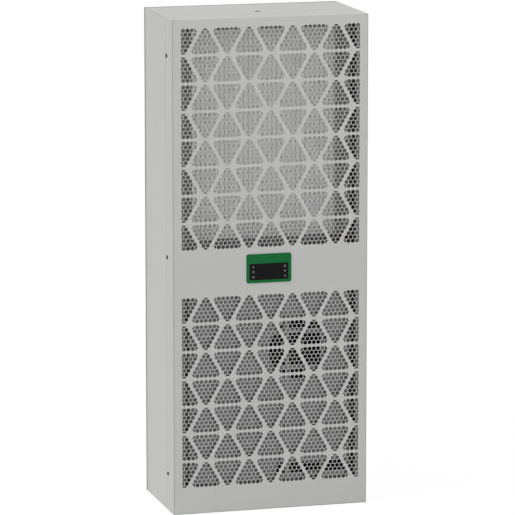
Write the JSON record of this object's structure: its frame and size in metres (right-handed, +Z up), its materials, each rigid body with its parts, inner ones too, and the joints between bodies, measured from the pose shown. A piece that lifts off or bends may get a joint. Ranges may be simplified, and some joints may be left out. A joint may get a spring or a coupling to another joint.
{
  "type": "enclosure air conditioner",
  "caption": "Slim upright cooling unit for the outside of a cabinet door, with a folded sheet cover, two perforated grilles, a display between them and a refrigeration circuit inside.",
  "frame": {"origin": "middle of the base, on the plane the unit stands on", "axes": "+X to the right seen from the front, +Y from the grilles to the cabinet, +Z up"},
  "size_m": [0.4036, 0.2266, 0.99],
  "materials": {
    "casing_paint": "light grey satin powder coat",
    "zinc_steel": "zinc plated",
    "dark_steel": "blackened steel",
    "plate_paint": "mid grey galvanised sheet",
    "fin_aluminium": "bright fin stock",
    "copper": "drawn copper tube",
    "brass_body": "turned brass",
    "black_plastic": "black moulding",
    "white_plastic": "white moulding",
    "display_green": "green film",
    "display_black": "smoked window",
    "seal_foam": "closed-cell foam",
    "dark_foam": "dark closed-cell foam",
    "grid_zinc": "dull zinc plated",
    "compressor_black": "black enamel",
    "rubber": "moulded rubber"
  },
  "bodies": {
    "casing": {"accumulator": "compressor_black", "base_pan": "plate_paint", "bulkhead": "plate_paint", "bulkhead_insulation": "seal_foam", "capacitor_clamp": "zinc_steel", "coil_seals": "seal_foam", "compressor_bolts": "zinc_steel", "compressor_feet": "compressor_black", "compressor_grommets": "rubber", "compressor_shell": "compressor_black", "condenser_baffles": "zinc_steel", "condenser_fan_frame": "black_plastic", "condenser_fan_screws": "zinc_steel", "condenser_fins": "fin_aluminium", "condenser_left_tube_sheet": "zinc_steel", "condenser_right_tube_sheet": "zinc_steel", "condenser_tubes": "copper", "control_box": "plate_paint", "control_box_lid": "plate_paint", "controller_body": "black_plastic", "controller_clips": "white_plastic", "cover_end_flanges": "casing_paint", "cover_screws": "dark_steel", "cover_seals": "dark_foam", "cover_side_flanges": "casing_paint", "discharge_line": "copper", "display_bezel": "display_green", "display_window": "display_black", "drain_hose": "rubber", "drain_nipple": "white_plastic", "drain_tray": "white_plastic", "evaporator_fan_motor": "fin_aluminium", "evaporator_fins": "fin_aluminium", "evaporator_inlet_ring": "zinc_steel", "evaporator_left_tube_sheet": "zinc_steel", "evaporator_right_tube_sheet": "zinc_steel", "evaporator_tubes": "copper", "expansion_line": "copper", "expansion_valve": "brass_body", "fan_plate": "plate_paint", "filter_drier": "copper", "front_cover": "casing_paint", "guard_grid": "grid_zinc", "left_side_panel": "casing_paint", "lifting_nut": "dark_steel", "liquid_line": "copper", "mounting_nuts": "zinc_steel", "power_connector": "black_plastic", "rear_gasket": "seal_foam", "rear_panel": "plate_paint", "right_side_panel": "casing_paint", "run_capacitor": "fin_aluminium", "shelf": "plate_paint", "suction_line": "copper", "terminal_block": "white_plastic", "terminal_cover": "black_plastic", "top_panel": "casing_paint"},
    "condenser_fan": {"condenser_fan_rotor": "black_plastic"},
    "evaporator_fan": {"evaporator_impeller": "black_plastic"}
  },
  "joints": [
    {"name": "condenser_fan_spin", "type": "hinge", "parent": "casing", "child": "condenser_fan", "pos_m": [0.0616, -0.07765, 0.3208], "axis": [0, 1, 0], "continuous": true},
    {"name": "evaporator_fan_spin", "type": "hinge", "parent": "casing", "child": "evaporator_fan", "pos_m": [0, 0.05, 0.79], "axis": [0, 1, 0], "continuous": true}
  ]
}
